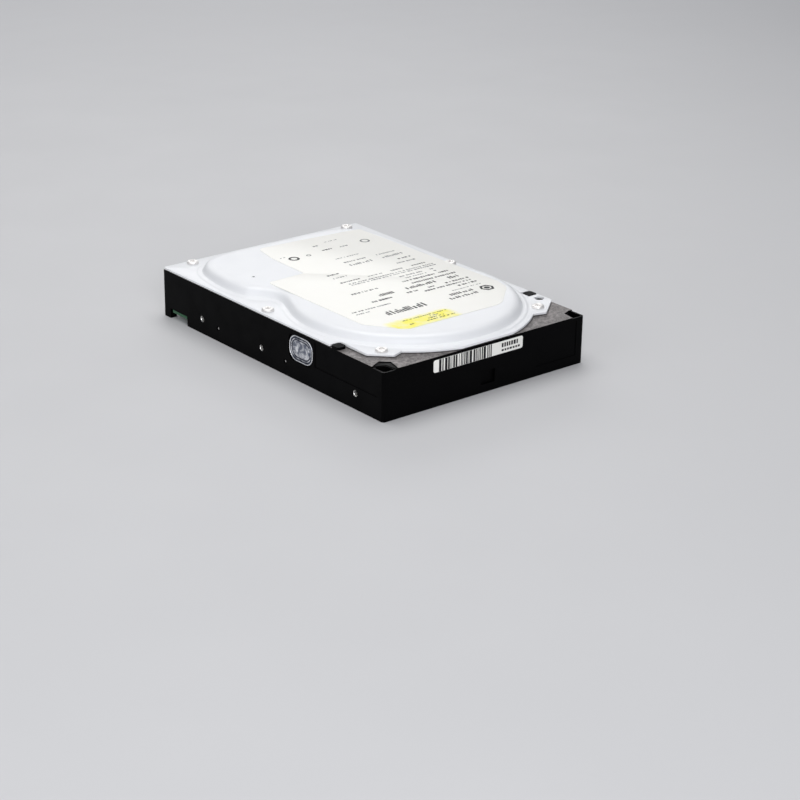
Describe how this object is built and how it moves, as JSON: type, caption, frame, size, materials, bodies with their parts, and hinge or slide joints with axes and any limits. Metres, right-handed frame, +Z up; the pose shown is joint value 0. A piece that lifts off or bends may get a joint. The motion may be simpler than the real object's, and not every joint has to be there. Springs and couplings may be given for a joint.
{
  "type": "hard disk drive",
  "caption": "Boxed data drive: black cast base, raised pressed cover with label, and inside it a spinning disc pack and a swinging head arm; board and sockets at the rear.",
  "frame": {"origin": "middle of the footprint, on the plane of the underside rails", "axes": "+Z up through the cover, +Y along the length towards the connector end, +X across the width"},
  "size_m": [0.1016, 0.147, 0.0254],
  "materials": {
    "casting_black": "semi-gloss black electrocoat over die-cast aluminium",
    "cover_silver": "satin silver-white paint on pressed sheet",
    "gasket_rubber": "matt black elastomer",
    "label_paper": null,
    "seal_foil": "embossed silver foil tape",
    "bare_aluminium": "machined aluminium",
    "hard_steel": "zinc-plated and ground steel",
    "winding_copper": "enamelled copper winding",
    "magnet_nickel": "bright nickel plate",
    "platter_mirror": "mirror-polished disc",
    "flex_amber": "amber polyimide film",
    "filter_felt": "white filter felt",
    "board_green": "green solder mask over glass-fibre board",
    "foam_grey": "dark grey closed-cell foam",
    "chip_black": "moulded black package",
    "connector_black": "black glass-filled moulding",
    "jumper_plastic": "white moulding",
    "socket_ivory": "ivory nylon moulding"
  },
  "bodies": {
    "chassis": {"base_casting": "casting_black", "cover_gasket": "gasket_rubber", "top_cover": "cover_silver", "product_label": "label_paper", "front_label": "label_paper", "side_window_seal": "seal_foil", "motor_flange": "bare_aluminium", "motor_shaft": "hard_steel", "motor_stator": "winding_copper", "pivot_shaft": "hard_steel", "coil_motor_plate_lower": "magnet_nickel", "coil_motor_plate_upper": "magnet_nickel", "coil_motor_magnet_lower": "magnet_nickel", "coil_motor_magnet_upper": "magnet_nickel", "plate_pillar_inner": "hard_steel", "plate_pillar_outer": "hard_steel", "crash_stop_inner": "gasket_rubber", "crash_stop_outer": "gasket_rubber", "flex_bracket": "connector_black", "flex_cable": "flex_amber", "recirculation_filter": "filter_felt", "circuit_board": "board_green", "board_foam_pad": "foam_grey", "controller_chip": "chip_black", "memory_chip": "chip_black", "motor_driver_chip": "chip_black", "data_header": "connector_black", "option_pin_block": "connector_black", "jumper_cap": "jumper_plastic", "power_socket": "socket_ivory", "cover_screw_left_mid": "hard_steel", "cover_screw_right_mid": "hard_steel", "cover_screw_front_left": "hard_steel", "cover_screw_front_right": "hard_steel", "cover_screw_rear_left": "hard_steel", "cover_screw_rear_right": "hard_steel", "board_screw_front_left": "hard_steel", "board_screw_front_right": "hard_steel", "board_screw_rear_left": "hard_steel", "board_screw_rear_right": "hard_steel"},
    "disc_pack": {"spindle_hub": "bare_aluminium", "rotor_magnet": "magnet_nickel", "spindle_bearing_lower": "hard_steel", "spindle_bearing_upper": "hard_steel", "platter_lower": "platter_mirror", "platter_spacer": "bare_aluminium", "platter_upper": "platter_mirror", "disc_clamp": "bare_aluminium", "clamp_screw_1": "hard_steel", "clamp_screw_2": "hard_steel", "clamp_screw_3": "hard_steel"},
    "actuator": {"arm_block": "bare_aluminium", "pivot_sleeve": "hard_steel", "voice_coil": "winding_copper", "head_suspension_1": "hard_steel", "head_suspension_2": "hard_steel", "head_suspension_3": "hard_steel", "head_suspension_4": "hard_steel"}
  },
  "joints": [
    {"name": "spindle_spin", "type": "hinge", "parent": "chassis", "child": "disc_pack", "pos_m": [0, -0.0236, 0.0126], "axis": [0, 0, 1], "continuous": true},
    {"name": "actuator_swing", "type": "hinge", "parent": "chassis", "child": "actuator", "pos_m": [-0.024, 0.028, 0.013], "axis": [0, 0, 1], "range_deg": [-29, 0]}
  ]
}
